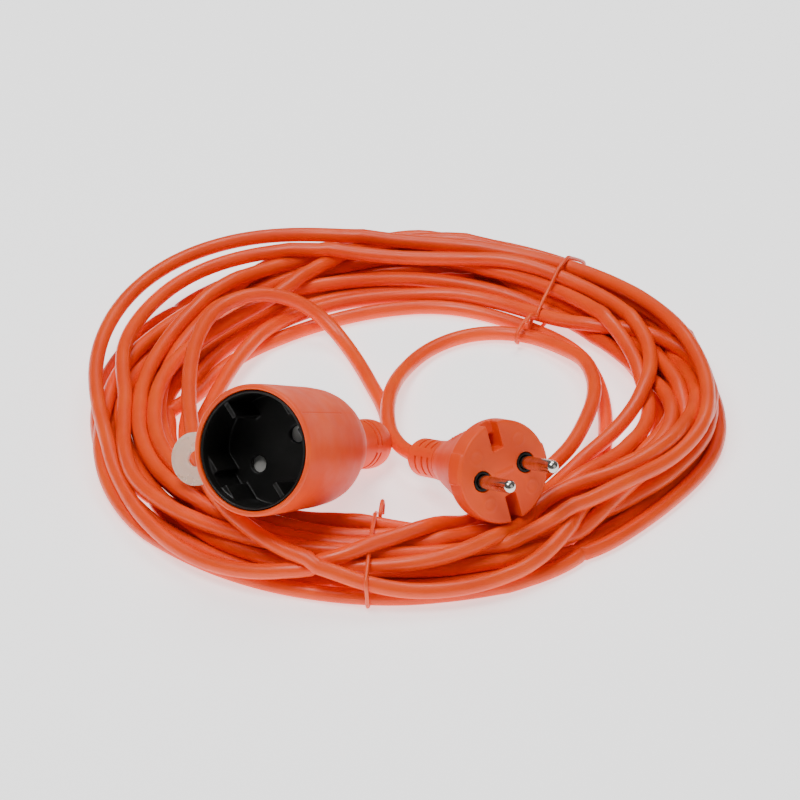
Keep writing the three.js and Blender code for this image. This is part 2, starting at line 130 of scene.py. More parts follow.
# Stretches of the coil that go their own way, as (azimuth in degrees, radius in millimetres).
# The azimuth is counted from the start of the named turn and runs on past 360. The level is the
# stretch's place in the pile, counted in turns: the highest is laid last.
STRAYS = [
    {"turn": 0, "level": 21, "route": [
        (201, 84.2), (215, 92.9), (225, 100.4), (237, 108), (246, 112.4), (256, 115.5),
        (262, 116.3), (269, 116.3), (276, 115.5), (291, 113),
    ]},
    {"turn": 2, "level": 1, "route": [
        (329, 83.2), (340, 78.8), (354, 76.1), (369, 76.7), (382, 78.8), (394, 81), (408, 79.9),
        (423, 79.9), (437, 82.1), (451, 77.8), (463, 75.6), (477, 73.4), (495, 74.5), (510, 77.8),
        (525, 82.1),
    ]},
    {"turn": 7, "level": 9, "route": [
        (314, 82.1), (328, 92.9), (336, 99.4), (344, 103.7), (349, 103.7),
    ]},
    {"turn": 9, "level": 12, "route": [
        (43, 83.2), (53, 83.2), (69, 84.2), (83, 84.2), (94, 84.2), (108, 83.2), (121, 79.9),
        (134, 75.6), (147, 73.4), (165, 71.3), (180, 73.4), (200, 82.1),
    ]},
    {"turn": 10, "level": 13.5, "route": [
        (87, 112.3), (94, 118.8), (105, 119.9), (113, 117.7),
    ]},
    {"turn": 11, "level": 14.5, "route": [
        (309, 84.2), (319, 94), (330, 103.7), (339, 109.1), (348, 111.2), (358, 111.2),
        (368, 110.2), (383, 111.2),
    ]},
    {"turn": 12, "level": 16, "route": [
        (355, 115.6), (365, 114.5), (379, 112.3), (393, 110.2), (407, 108), (419, 108),
        (430, 110.5), (439, 112), (447, 111), (457, 108.2),
    ]},
    {"turn": 13, "level": 18, "route": [
        (317, 72.4), (323, 72.4), (331, 72.4), (340, 77.8), (350, 84.2), (362, 91.8), (372, 97.2),
        (384, 100.4), (396, 100.4), (412, 98.3), (428, 96.1), (446, 91.8), (461, 95), (473, 106.9),
        (484, 116.6), (496, 121), (506, 117.7), (519, 114.5), (531, 109.1), (542, 102.6),
    ]},
    {"turn": 15, "level": 24, "route": [
        (80, 102.6), (91, 101.5), (104, 109.1), (118, 119.9), (128, 124.2), (140, 125.8),
        (152, 124.2), (168, 119.9), (176, 117.7), (185, 114.5), (193, 113.4), (205, 115.6),
        (216, 118.8), (222, 120.4), (230, 121), (237, 121), (243, 119.9), (250, 118.8),
        (255, 115.6), (261, 109.1), (269, 98.3), (272, 95),
    ]},
]

# The heights of the first and the last turn where they stand away from the pile, as (azimuth in
# degrees, height in millimetres).
SOCKET_END_HEIGHTS = [
    (201, 20.7), (215, 20.7), (225, 20.1), (237, 19.4), (246, 18.4), (256, 15.1), (262, 10.8),
    (269, 6.5), (276, 4.3), (291, 3),
]
PLUG_END_HEIGHTS = [
    (80, 18.4), (104, 19.4), (118, 20.5), (140, 20.5), (160, 18.4), (185, 15.1), (205, 10.8),
    (216, 6.5), (230, 4.5), (243, 7.6), (250, 11.9), (255, 17.3), (261, 21.1), (272, 19.2),
]

# The space that the two ends take up: (distance behind the face, radius) in millimetres.
SOCKET_HULL = [
    (0, 23.4), (14, 23), (26, 22.4), (37, 21.9), (44, 21.2), (50, 19.5), (57, 15.9), (63, 11),
    (66, 8.2), (74, 8.2), (92, 9.4),
]
PLUG_HULL = [
    (0, 19.3), (8, 19.3), (10, 17.2), (13, 15.8), (18, 14), (24, 12), (30, 10), (34, 8.4), (55, 7.2),
]

# ---- How the coil settles ----
TIGHTEST_BEND = 30 * MM  # a tighter bend is smoothed
INSIDE_SHEATH = 10  # points of the cord, at each of its ends, that stay inside the strain reliefs
HULL_CLEARANCE = 0.3 * MM  # between the cord and the two ends
STRAND_DISTANCE = 1.01 * CORD_DIAMETER  # between the middles of two strands that touch
PUSH_SHARE = 0.72  # of an overlap, taken away by one push
EARLY_PUSHES, LATE_PUSHES = 4, 16  # in each step of the first and of the second half
SETTLE_STEPS = 500
FIRST_SINK, LEAST_SINK = 1.1 * MM, 0.03 * MM  # extra in the first step, and in every step
ENDS_FROM = 0.4  # share of the steps after which the strands make way for the two ends
STANDING_FROM = 0.45  # share of the steps after which the standing turns are lifted
STANDING_SHARE = 0.15  # of the way to their height, in each step
LEVEL_STEP = 1.05  # between two levels of the first tower, in cord diameters
LANE_PHASE = 0.9
LANE_TURNS = 0.382  # how often a strand goes across the bundle and back, per turn
LANE_WOBBLES = (0.12, 1.31, 1), (0.08, 2.17, 0)  # (size, times per turn, phase)
LEVEL_WOBBLE, LEVEL_WOBBLE_TURNS = 1.5, 0.7
FADE = 30  # degrees over which the coil runs into a stray stretch
LOOSE_HOLD = 0.03  # share of the way back to its own radius that a strand goes in each step
STRAY_HOLD = 0.12  # added to it within a stray stretch
# Smoothing passes: over the first radii and heights, over both in each step, and where a bend
# is too tight in each step. Then how often, and with how many passes, tight bends are eased in
# the settled coil and in the whole cord.
FIRST_RADIUS_PASSES, FIRST_HEIGHT_PASSES = 12, 20
RADIUS_PASSES, HEIGHT_PASSES, BEND_PASSES = 8, 4, 12
COIL_EASES, COIL_PASSES = 12, 4
CORD_EASES, CORD_PASSES = 20, 3


def smoothed(values, passes):
    """Each pass averages a value with its two neighbours on either side."""
    for _ in range(passes):
        padded = np.pad(values, 2, mode="edge")
        near = 4 * (padded[1:-3] + padded[3:-1])
        values = (padded[:-4] + near + 6 * padded[2:-2] + padded[4:]) / 16
    return values


def evenly(line, spacing):
    """The same line with evenly spaced points."""
    steps = np.linalg.norm(np.diff(line, axis=0), axis=1)
    along = np.concatenate([[0], np.cumsum(steps)])
    at = np.linspace(0, along[-1], round(along[-1] / spacing) + 1)
    return np.stack([np.interp(at, along, line[:, axis]) for axis in range(3)], axis=1)


def curve_through(points, spacing):
    """A centripetal Catmull-Rom curve through the points, as evenly spaced points."""
    points = np.array(points, float)
    points = np.vstack([2 * points[0] - points[1], points, 2 * points[-1] - points[-2]])
    pieces = []
    for a, b, c, d in zip(points, points[1:], points[2:], points[3:]):
        knots = np.cumsum([0] + [math.sqrt(np.linalg.norm(step)) for step in (b - a, c - b, d - c)])
        t = np.linspace(knots[1], knots[2], 24, endpoint=False)[:, None]
        k0, k1, k2, k3 = knots
        ab = ((k1 - t) * a + (t - k0) * b) / (k1 - k0)
        bc = ((k2 - t) * b + (t - k1) * c) / (k2 - k1)
        cd = ((k3 - t) * c + (t - k2) * d) / (k3 - k2)
        abc = ((k2 - t) * ab + (t - k0) * bc) / (k2 - k0)
        bcd = ((k3 - t) * bc + (t - k1) * cd) / (k3 - k1)
        pieces.append(((k2 - t) * abc + (t - k1) * bcd) / (k2 - k1))
    pieces.append(points[-2][None])
    return evenly(np.vstack(pieces), spacing)


def pushed_off(points, place, hull):
    """How far each point has to move to clear a turned body, as vectors."""
    place = np.array(place)
    local = (points - place[:3, 3]) @ place[:3, :3]
    behind = -local[:, 2] / MM
    radius = np.interp(behind, [at for at, _ in hull], [reach for _, reach in hull]) * MM
    away = np.maximum(np.hypot(local[:, 0], local[:, 1]), 1e-6)
    beside = (behind > -2) & (behind < hull[-1][0])
    depth = np.where(beside, np.maximum(0, radius + CORD_RADIUS + HULL_CLEARANCE - away), 0)
    outward = local[:, :1] * place[:3, 0] + local[:, 1:2] * place[:3, 1]
    return outward * (depth / away)[:, None]


def too_tight(points, reach=3):
    """How much each point needs smoothing, from 0 to 1 for bends tighter than TIGHTEST_BEND."""
    before, here, after = points[: -2 * reach], points[reach:-reach], points[2 * reach :]
    sag = np.linalg.norm(before - 2 * here + after, axis=1)
    bend = 4 * sag / np.sum((after - before) ** 2, axis=1)
    need = np.pad(np.clip(bend * TIGHTEST_BEND - 1, 0, 1), reach)
    spread = [np.roll(need, shift) for shift in range(-reach, reach + 1)]
    return smoothed(np.max(spread, axis=0), 3)


def lead_route(place, sheath_start, relief_end, route):
    """The lead's points, from inside its end's housing to the coil."""
    inside = [place @ Vector((0, 0, -at)) for at in np.linspace(sheath_start, relief_end, 5)]
    return curve_through([*inside, *route], 2 * MM)


def spiral_targets(theta):
    """The radius, level and hold of each station before the turns settle on each other."""
    turn = (theta - COIL_START) / 360
    edges = np.array(BUNDLE_EDGES, float)
    inner, outer = (np.interp(theta % 360, edges[:, 0], edges[:, column]) * MM for column in (1, 2))
    # A lane is a strand's place between the bundle's inner edge, at 0, and its outer edge, at 1.
    lane = np.arccos(np.cos(2 * np.pi * LANE_TURNS * turn + LANE_PHASE)) / np.pi
    lane += sum(size * np.sin(2 * np.pi * times * turn + phase) for size, times, phase in LANE_WOBBLES)
    radius = inner + np.clip(lane, 0, 1) * (outer - inner)
    level = turn + LEVEL_WOBBLE * np.sin(2 * np.pi * LEVEL_WOBBLE_TURNS * turn)
    hold = np.full(len(theta), LOOSE_HOLD)
    for stray in STRAYS:
        route = np.array(stray["route"], float)
        at = route[:, 0] + 360 * stray["turn"]
        weight = np.clip(np.minimum(theta - at[0] + FADE, at[-1] + FADE - theta) / FADE, 0, 1)
        weight = weight * weight * (3 - 2 * weight)
        radius += weight * (np.interp(theta, at, route[:, 1]) * MM - radius)
        level += weight * (stray["level"] - level)
        hold += weight * STRAY_HOLD
    return smoothed(radius, FIRST_RADIUS_PASSES), level, hold


def pinned_stations(theta, leads):
    """Radii and heights of the stations at both ends, which lie on the leads' routes."""
    radius, height = np.zeros(len(theta)), np.zeros(len(theta))
    for lead, ends, start, stop in (
        (leads[0][::-1], theta <= COIL_START, COIL_START, LEADS_START),
        (leads[1][::-1], theta >= COIL_END, COIL_END, LEADS_END),
    ):
        azimuth = np.degrees(np.unwrap(np.arctan2(lead[:, 1], lead[:, 0])))
        azimuth += start - azimuth[0]
        count = np.argmax((azimuth - stop) * (start - stop) < 0) + 1
        order = np.argsort(azimuth[:count])
        azimuth, lead = azimuth[:count][order], lead[:count][order]
        radius[ends] = np.interp(theta[ends], azimuth, np.hypot(lead[:, 0], lead[:, 1]))
        height[ends] = np.interp(theta[ends], azimuth, lead[:, 2])
    return radius, height


def standing_heights(theta):
    """Heights of the first and the last turn where they leave the pile, and nan elsewhere."""
    height = np.full(len(theta), np.nan)
    for route, turn in ((SOCKET_END_HEIGHTS, 0), (PLUG_END_HEIGHTS, COIL_TURNS)):
        at = np.array([azimuth for azimuth, _ in route], float) + 360 * turn
        within = (theta >= at[0]) & (theta <= at[-1])
        height[within] = np.interp(theta[within], at, [level * MM for _, level in route])
    return height


def at_stations(outward, radius, height):
    """The stations' points, from their directions, radii and heights."""
    points = outward * radius[:, None]
    points[:, 2] = height
    return points


def eased(outward, radius, height, passes):
    """The radii and heights, smoothed wherever the cord bends too tightly."""
    need = too_tight(at_stations(outward, radius, height))
    return [values + need * (smoothed(values, passes) - values) for values in (radius, height)]


def stations_by_azimuth(count, pinned):
    """A table of the stations, one row per turn: their indices and which of them are real, and
    for each pair of rows, the share of a push between them that moves the first."""
    rows = math.ceil(count / STATIONS_PER_TURN)
    index = np.arange(rows * STATIONS_PER_TURN).reshape(rows, STATIONS_PER_TURN)
    real = index < count
    index = np.minimum(index, count - 1)
    movable = (real & ~pinned[index]).astype(float)
    share = movable[:, None] / np.maximum(movable[:, None] + movable[None], 1e-9)
    pair = real[:, None] & real[None] & ~np.eye(rows, dtype=bool)[:, :, None]
    return index, real, np.where(pair, share, 0)


def push_apart(radius, height, index, real, share):
    """Moves the strands that overlap at the same azimuth away from each other."""
    near_r = radius[index][:, None] - radius[index][None]
    near_z = height[index][:, None] - height[index][None]
    gap = np.sqrt(near_r ** 2 + near_z ** 2) + 1e-9
    push = PUSH_SHARE * np.maximum(0, STRAND_DISTANCE - gap) * share / gap
    radius[index[real]] += (push * near_r).sum(1)[real]
    height[index[real]] += (push * near_z).sum(1)[real]


def settle(theta, leads):
    """The coil's points: the spiral starts as a tower, and its turns sink onto each other."""
    azimuth = np.radians(theta)
    outward = np.stack([np.cos(azimuth), np.sin(azimuth), np.zeros(len(theta))], axis=1)
    wander, level, hold = spiral_targets(theta)
    standing = standing_heights(theta)
    stands = ~np.isnan(standing)
    pinned = (theta <= COIL_START) | (theta >= COIL_END)
    pinned_r, pinned_z = pinned_stations(theta, leads)
    table = stations_by_azimuth(len(theta), pinned)
    r = wander.copy()
    z = smoothed(CORD_RADIUS + level * LEVEL_STEP * CORD_DIAMETER, FIRST_HEIGHT_PASSES)

    for step in range(SETTLE_STEPS):
        done = step / SETTLE_STEPS
        z -= FIRST_SINK * (1 - done) ** 2 + LEAST_SINK
        r += hold * (wander - r)
        if done > STANDING_FROM:
            z[stands] += STANDING_SHARE * (standing[stands] - z[stands])
        r = wander + smoothed(r - wander, RADIUS_PASSES)
        z = smoothed(z, HEIGHT_PASSES)
        r, z = eased(outward, r, z, BEND_PASSES)
        for _ in range(EARLY_PUSHES if done < 0.5 else LATE_PUSHES):
            push_apart(r, z, *table)
            if done >= ENDS_FROM:
                points = at_stations(outward, r, z)
                off = pushed_off(points, SOCKET_PLACE, SOCKET_HULL)
                off += pushed_off(points, PLUG_PLACE, PLUG_HULL)
                r += (off * outward).sum(1)
                z += off[:, 2]
            z = np.maximum(z, CORD_RADIUS)
            r[pinned], z[pinned] = pinned_r[pinned], pinned_z[pinned]
    for _ in range(COIL_EASES):
        r, z = eased(outward, r, z, COIL_PASSES)
    return at_stations(outward, r, z)


def cord_line():
    """Every point of the cord, from inside the socket to inside the plug, and the coil's alone."""
    leads = [
        lead_route(SOCKET_PLACE, SOCKET_SHEATH_START, SOCKET_RELIEF_END, SOCKET_LEAD_ROUTE),
        lead_route(PLUG_PLACE, PLUG_SHEATH_START, PLUG_RELIEF_END, PLUG_LEAD_ROUTE),
    ]
    theta = np.arange(LEADS_START, LEADS_END + 1, 360 / STATIONS_PER_TURN)
    coil = settle(theta, leads)
    first, last = (
        lead[: np.argmin(np.linalg.norm(lead - joint, axis=1))]
        for lead, joint in zip(leads, (coil[0], coil[-1]))
    )
    line = np.vstack([first, coil, last[::-1]])
    for _ in range(CORD_EASES):
        need = too_tight(line)[:, None]
        need[:INSIDE_SHEATH] = need[-INSIDE_SHEATH:] = 0
        smooth_line = np.stack([smoothed(values, CORD_PASSES) for values in line.T], axis=1)
        line += need * (smooth_line - line)
    line[:, 2] = np.maximum(line[:, 2], CORD_RADIUS)
    return line, coil


# ---- Materials: each is made of noise in the object's own space, so it needs no UV map ----
def linear(share):
    """One channel of a screen colour as linear light, both from 0 to 1."""
    return share / 12.92 if share < 0.04 else ((share + 0.055) / 1.055) ** 2.4


def srgb(red, green, blue):
    """A colour given as it looks on a screen, from 0 to 255, as Blender's linear colour."""
    return (*[linear(value / 255) for value in (red, green, blue)], 1)


class Shader:
    """A material with one Principled shader, and short calls for the nodes that feed it."""

    def __init__(self, name, **constants):
        self.material = bpy.data.materials.new(name)
        self.material.use_nodes = True
        self.nodes = self.material.node_tree.nodes
        self.links = self.material.node_tree.links
        self.surface = next(node for node in self.nodes if node.type == "BSDF_PRINCIPLED")
        self.place = self.nodes.new("ShaderNodeTexCoord").outputs["Object"]
        for socket, value in constants.items():
            self.surface.inputs[socket.replace("_", " ")].default_value = value

    def noise(self, scale, detail=4, stretch=(1, 1, 1)):
        mapping = self.nodes.new("ShaderNodeMapping")
        mapping.inputs["Scale"].default_value = stretch
        node = self.nodes.new("ShaderNodeTexNoise")
        node.inputs["Scale"].default_value = scale
        node.inputs["Detail"].default_value = detail
        self.links.new(self.place, mapping.inputs["Vector"])
        self.links.new(mapping.outputs[0], node.inputs["Vector"])
        return node.outputs["Fac"]

    def ramp(self, factor, *stops):
        node = self.nodes.new("ShaderNodeValToRGB")
        elements = node.color_ramp.elements
        while len(elements) < len(stops):
            elements.new(0.5)
        for element, (position, colour) in zip(elements, stops):
            element.position = position
            element.color = colour
        self.links.new(factor, node.inputs["Fac"])
        return node.outputs["Color"]

    def between(self, factor, low, high):
        """The noise's middle range stretched from the low to the high value."""
        node = self.nodes.new("ShaderNodeMapRange")
        node.inputs["From Min"].default_value = 0.3
        node.inputs["From Max"].default_value = 0.7
        node.inputs["To Min"].default_value = low
        node.inputs["To Max"].default_value = high
        self.links.new(factor, node.inputs["Value"])
        return node.outputs["Result"]

    def colour(self, source):
        self.links.new(source, self.surface.inputs["Base Color"])

    def roughness(self, source):
        self.links.new(source, self.surface.inputs["Roughness"])

    def bump(self, *layers):
        """Layers are (height source, strength, depth in metres), one upon the other."""
        normal = None
        for height, strength, depth in layers:
            node = self.nodes.new("ShaderNodeBump")
            node.inputs["Strength"].default_value = strength
            node.inputs["Distance"].default_value = depth
            self.links.new(height, node.inputs["Height"])
            if normal:
                self.links.new(normal, node.inputs["Normal"])
            normal = node.outputs["Normal"]
        self.links.new(normal, self.surface.inputs["Normal"])


def plastic(name, dark, middle, light, gloss, grain, **constants):
    """Moulded plastic: mottled colour, uneven gloss, a fine grain and a slow unevenness."""
    shader = Shader(name, **constants)
    mottle, patches = shader.noise(55, 6), shader.noise(140, 5)
    pores, waves = shader.noise(2600, 2), shader.noise(120, 3)
    shader.colour(shader.ramp(mottle, (0.32, dark), (0.5, middle), (0.7, light)))
    shader.roughness(shader.between(patches, *gloss))
    shader.bump((pores, grain, 0.02 * MM), (waves, 0.1, 0.15 * MM))
    return shader


def metal(name, dark, light, gloss, stretch=(1, 1, 1)):
    """Plated metal with fine drawing marks along local Z and a slightly tarnished colour."""
    shader = Shader(name, Metallic=1)
    marks = shader.noise(900, 3, stretch)
    shader.colour(shader.ramp(shader.noise(220, 4), (0.35, dark), (0.65, light)))
    shader.roughness(shader.between(marks, *gloss))
    shader.bump((marks, 0.12, 0.01 * MM))
    return shader.material


ORANGE_DARK, ORANGE, ORANGE_LIGHT = srgb(240, 70, 0), srgb(247, 76, 0), srgb(252, 84, 2)
orange_cord = plastic(
    "orange_pvc_sheath", ORANGE_DARK, ORANGE, ORANGE_LIGHT, (0.3, 0.46), 0.3,
    Specular_IOR_Level=0.42, Subsurface_Weight=0.06, Subsurface_Scale=1.2 * MM,
    Subsurface_Radius=(1, 0.35, 0.15),
).material
orange_moulding = plastic(
    "orange_moulding", ORANGE_DARK, ORANGE, ORANGE_LIGHT, (0.42, 0.58), 0.5,
    Specular_IOR_Level=0.45, Subsurface_Weight=0.05, Subsurface_Scale=1.5 * MM,
    Subsurface_Radius=(1, 0.35, 0.15),
).material
black_plastic = plastic(
    "black_thermoplastic", srgb(9, 8, 7), srgb(15, 14, 12), srgb(22, 20, 18), (0.38, 0.52), 0.35,
    Specular_IOR_Level=0.35,
).material
grey_plastic = plastic(
    "grey_shutter_plastic", srgb(158, 156, 152), srgb(186, 184, 180), srgb(202, 200, 196),
    (0.4, 0.55), 0.4,
).material
tie_plastic = plastic(
    "orange_tie_plastic", srgb(226, 66, 18), srgb(244, 82, 30), srgb(252, 100, 44), (0.3, 0.45), 0.4,
).material
milky_plastic = plastic(
    "milky_polyethylene", srgb(238, 210, 186), srgb(246, 226, 206), srgb(252, 238, 224),
    (0.22, 0.38), 0.3,
    Transmission_Weight=0.35, IOR=1.5, Subsurface_Weight=0.5, Subsurface_Scale=2.5 * MM,
    Subsurface_Radius=(1, 0.8, 0.6),
).material
brown_insulation = plastic(
    "brown_core_pvc", srgb(74, 40, 22), srgb(92, 52, 30), srgb(108, 64, 38), (0.4, 0.55), 0.3,
).material
blue_insulation = plastic(
    "blue_core_pvc", srgb(24, 58, 138), srgb(32, 72, 160), srgb(44, 88, 178), (0.4, 0.55), 0.3,
).material
nickel = metal("nickel_plating", srgb(196, 190, 180), srgb(232, 228, 220), (0.12, 0.26), (1, 1, 0.1))
brass = metal("brass", srgb(176, 134, 58), srgb(214, 174, 92), (0.25, 0.4))
steel = metal("spring_steel", srgb(142, 142, 146), srgb(186, 186, 190), (0.22, 0.36))


# The CAD nodes that keep their shape, inside the two ends.
CARRIED_OVER = {
    "shutter": grey_plastic,
    "shutter_pivot": steel,
    "shutter_spring": steel,
    "contact_block": black_plastic,
    "contact_sleeve_left": brass,
    "contact_sleeve_right": brass,
    "socket_core_brown": brown_insulation,
    "socket_core_blue": blue_insulation,
    "plug_core_brown": brown_insulation,
    "plug_core_blue": blue_insulation,
}
for node_name, node_material in CARRIED_OVER.items():
    for material_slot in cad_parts[node_name].material_slots:
        material_slot.material = node_material


# ---- The cord ----
def wire(name, points, radius, material, sides=8):
    """A round wire or cord through the points, as a curve of one spline."""
    curve = bpy.data.curves.new(name, "CURVE")
    curve.dimensions = "3D"
    curve.bevel_depth = radius
    curve.bevel_resolution = sides // 2 - 1
    curve.use_fill_caps = True
    spline = curve.splines.new("POLY")
    spline.points.add(len(points) - 1)
    spline.points.foreach_set("co", np.hstack([points, np.ones((len(points), 1))]).ravel())
    curve.materials.append(material)
    piece = bpy.data.objects.new(name, curve)
    bpy.context.scene.collection.objects.link(piece)
    return piece


cord_points, coil_points = cord_line()
cord = wire("cord", cord_points, CORD_RADIUS, orange_cord, sides=16)


# ---- Mesh making ----
# Outlines, as (radius, z) or (x, y), and solids, as vertices and faces, are in millimetres, and
# pieces are in metres.
SHARP_EDGE = 35  # degrees between two faces, from which their edge is shown as an edge


def add_piece(name, vertices, faces, material, place=Matrix(), sharp=SHARP_EDGE):
    """A mesh object made of a solid, with its place set but not applied."""
    mesh = bpy.data.meshes.new(name)
    mesh.from_pydata([tuple(value * MM for value in vertex) for vertex in vertices], [], faces)
    mesh.materials.append(material)
    tidy = bmesh.new()
    tidy.from_mesh(mesh)
    bmesh.ops.remove_doubles(tidy, verts=tidy.verts, dist=0.001 * MM)
    bmesh.ops.recalc_face_normals(tidy, faces=tidy.faces)
    tidy.to_mesh(mesh)
    tidy.free()
    mesh.shade_smooth()
    mesh.set_sharp_from_angle(angle=math.radians(sharp))
    piece = bpy.data.objects.new(name, mesh)
    piece.matrix_world = place
    bpy.context.scene.collection.objects.link(piece)
    return piece


def polar(radius, angle):
    return radius * math.cos(angle), radius * math.sin(angle)


def filleted(corners, steps=3):
    """An outline whose corners (a, b, fillet) are rounded by that much."""
    outline = []
    count = len(corners)
    for index, (a, b, fillet) in enumerate(corners):
        here = Vector((a, b))
        before = Vector(corners[index - 1][:2]) - here
        after = Vector(corners[(index + 1) % count][:2]) - here
        if not fillet:
            outline.append((a, b))
            continue
        start, end = here + before.normalized() * fillet, here + after.normalized() * fillet
        for step in range(steps + 1):
            t = step / steps
            outline.append(tuple((1 - t) ** 2 * start + 2 * t * (1 - t) * here + t * t * end))
    return outline


def fine(outline, spacing=1.0):
    """The closed outline with points no further apart than the spacing."""
    points = []
    for (a, b), (c, d) in zip(outline, outline[1:] + outline[:1]):
        count = max(1, math.ceil(math.hypot(c - a, d - b) / spacing))
        points += [(a + (c - a) * k / count, b + (d - b) * k / count) for k in range(count)]
    return points


def turned(outline, angles=96, shape=None, spun=None):
    """A closed (radius, z) outline turned round Z, at that many even angles or at the given ones.
    shape(radius, z, angle) may change a point's radius."""
    around = spun or [2 * math.pi * k / angles for k in range(angles)]
    vertices = []
    for angle in around:
        for radius, z in outline:
            reach = shape(radius, z, angle) if shape else radius
            vertices.append((*polar(reach, angle), z))
    count, size = len(around), len(outline)
    faces = []
    for k in range(count):
        for j in range(size):
            here, beside = k * size, (k + 1) % count * size
            faces.append((here + j, beside + j, beside + (j + 1) % size, here + (j + 1) % size))
    return vertices, faces


def prism(outline, z0, z1):
    """An (x, y) outline pulled from z0 to z1."""
    size = len(outline)
    vertices = [(x, y, z) for z in (z0, z1) for x, y in outline]
    sides = [(k, (k + 1) % size, size + (k + 1) % size, size + k) for k in range(size)]
    return vertices, [tuple(reversed(range(size))), tuple(range(size, 2 * size)), *sides]


def block(x, y, z):
    """A box, each side given as its two ends."""
    return prism([(x[0], y[0]), (x[1], y[0]), (x[1], y[1]), (x[0], y[1])], *z)


def disc(radius, z, x=0.0, angles=48):
    """A round disc between two z, about a line at that x."""
    around = [2 * math.pi * k / angles for k in range(angles)]
    return prism([(x + radius * math.cos(angle), radius * math.sin(angle)) for angle in around], *z)


def moved(solid, x=0.0, y=0.0, z=0.0):
    vertices, faces = solid
    return [(a + x, b + y, c + z) for a, b, c in vertices], faces


def both_sides(solid):
    """The solid and its copy turned half a turn round Z."""
    vertices, faces = solid
    return [solid, ([(-x, -y, z) for x, y, z in vertices], faces)]


def moulded(piece, added, removed, voxel=None, passes=2):
    """Joins and cuts solids. With a voxel size, in millimetres, it then melts the mesh together,
    so that its edges come out rounded."""
    operations = [("UNION", solid) for solid in added]
    operations += [("DIFFERENCE", solid) for solid in removed]
    material = piece.data.materials[0]
    tools = []
    for number, (operation, (vertices, faces)) in enumerate(operations):
        tool = add_piece(f"{piece.name}_tool_{number}", vertices, faces, material, piece.matrix_world)
        modifier = piece.modifiers.new(f"cut_{number}", "BOOLEAN")
        modifier.operation = operation
        modifier.solver = "EXACT"
        modifier.object = tool
        tools.append(tool)
    if voxel:
        melt = piece.modifiers.new("melt", "REMESH")
        melt.mode = "VOXEL"
        melt.voxel_size = voxel * MM
        melt.use_smooth_shade = True
        ease = piece.modifiers.new("ease", "SMOOTH")
        ease.factor = 0.5
        ease.iterations = passes
    bpy.context.view_layer.update()
    evaluated = piece.evaluated_get(bpy.context.evaluated_depsgraph_get())
    mesh = bpy.data.meshes.new_from_object(evaluated)
    piece.modifiers.clear()
    piece.data = mesh
    for tool in tools:
        bpy.data.objects.remove(tool)
    mesh.materials.clear()
    mesh.materials.append(material)
    mesh.shade_smooth()
    if not voxel:
        mesh.set_sharp_from_angle(angle=math.radians(SHARP_EDGE))


# ---- Socket end, in millimetres ----
RIM_RADIUS = 23.35
INSERT_RADIUS = 21.1
CUP_RADIUS = 19.9
CUP_DEPTH = 19
PIN_HOLE_RADIUS = 3
CORD_BORE = 3.24  # radius of the hole that the cord goes through
SUNK = 0.4  # how far added solids run into the wall and the floor
HUB_FLAT = 15.6  # distance of the hub's two flats from the axis
HUB_FLAT_START = -46.5  # the flats run from this z backwards
SEAM_WIDTH = 0.3
SEAM_DEPTH, FAINT_SEAM_DEPTH = 0.28, 0.08
SEAM_START, SEAM_END = -33, -2  # of the deep part of the moulding seam
SEAT_RADIUS, CAVITY_RADIUS, REAR_RADIUS = 21.4, 18.5, 12.5  # of the hollow, from front to rear
SOCKET_BODY = [
    (8.2, -64), (11, -62.8), (14, -60), (15.9, -57), (17.6, -54), (19.4, -50.2), (20.5, -47.2),
    (21.2, -44), (21.9, -37), (22.4, -26), (23, -14), (23.3, -6), (RIM_RADIUS, -1.2),
    (23.2, -0.45), (22.7, -0.05), (22.1, 0), (21.7, -0.1),
]
SOCKET_INSIDE = [
    (SEAT_RADIUS, -0.5), (SEAT_RADIUS, -22), (CAVITY_RADIUS, -22), (CAVITY_RADIUS, -46.3),
    (REAR_RADIUS, -46.3), (REAR_RADIUS, -53), (CORD_BORE, -59), (CORD_BORE, -64),
]


def smooth_least(a, b, width):
    """The lesser of two lengths, with a fillet of about the width where they meet."""
    share = max(0.0, width - abs(a - b)) / width
    return min(a, b) - share * share * width / 4


def socket_body_shape(radius, z, angle):
    """The housing's radius there, with the hub's two flats and a moulding seam on either side."""
    if radius < 8 or radius in (SEAT_RADIUS, CAVITY_RADIUS, REAR_RADIUS):
        return radius
    side = abs(math.sin(angle))
    if z < HUB_FLAT_START and side > 0.1:
        run_in = min(1.0, HUB_FLAT_START - z)
        run_in = run_in * run_in * (3 - 2 * run_in)
        flat = smooth_least(radius, HUB_FLAT / side, 0.8)
        radius += (flat - radius) * run_in
    from_seam = math.remainder(angle, math.pi) * RIM_RADIUS
    depth = SEAM_DEPTH if SEAM_START < z < SEAM_END else FAINT_SEAM_DEPTH
    return radius - depth * math.exp(-((from_seam / SEAM_WIDTH) ** 2))


def near_lines(lines, width, count=180):
    """Angles round a circle, closer together beside the given lines."""
    plain = [2 * math.pi * k / count for k in range(count)]
    extra = [line + offset for line in lines for offset in (-width, -width / 2, 0, width / 2, width)]
    return sorted(set(round(angle % (2 * math.pi), 6) for angle in plain + extra))


socket_shell = add_piece(
    "socket_shell",
    *turned(fine(SOCKET_BODY + SOCKET_INSIDE, 0.5), shape=socket_body_shape,
            spun=near_lines([0, math.pi], 0.02)),
    orange_moulding, SOCKET_PLACE, sharp=50,
)

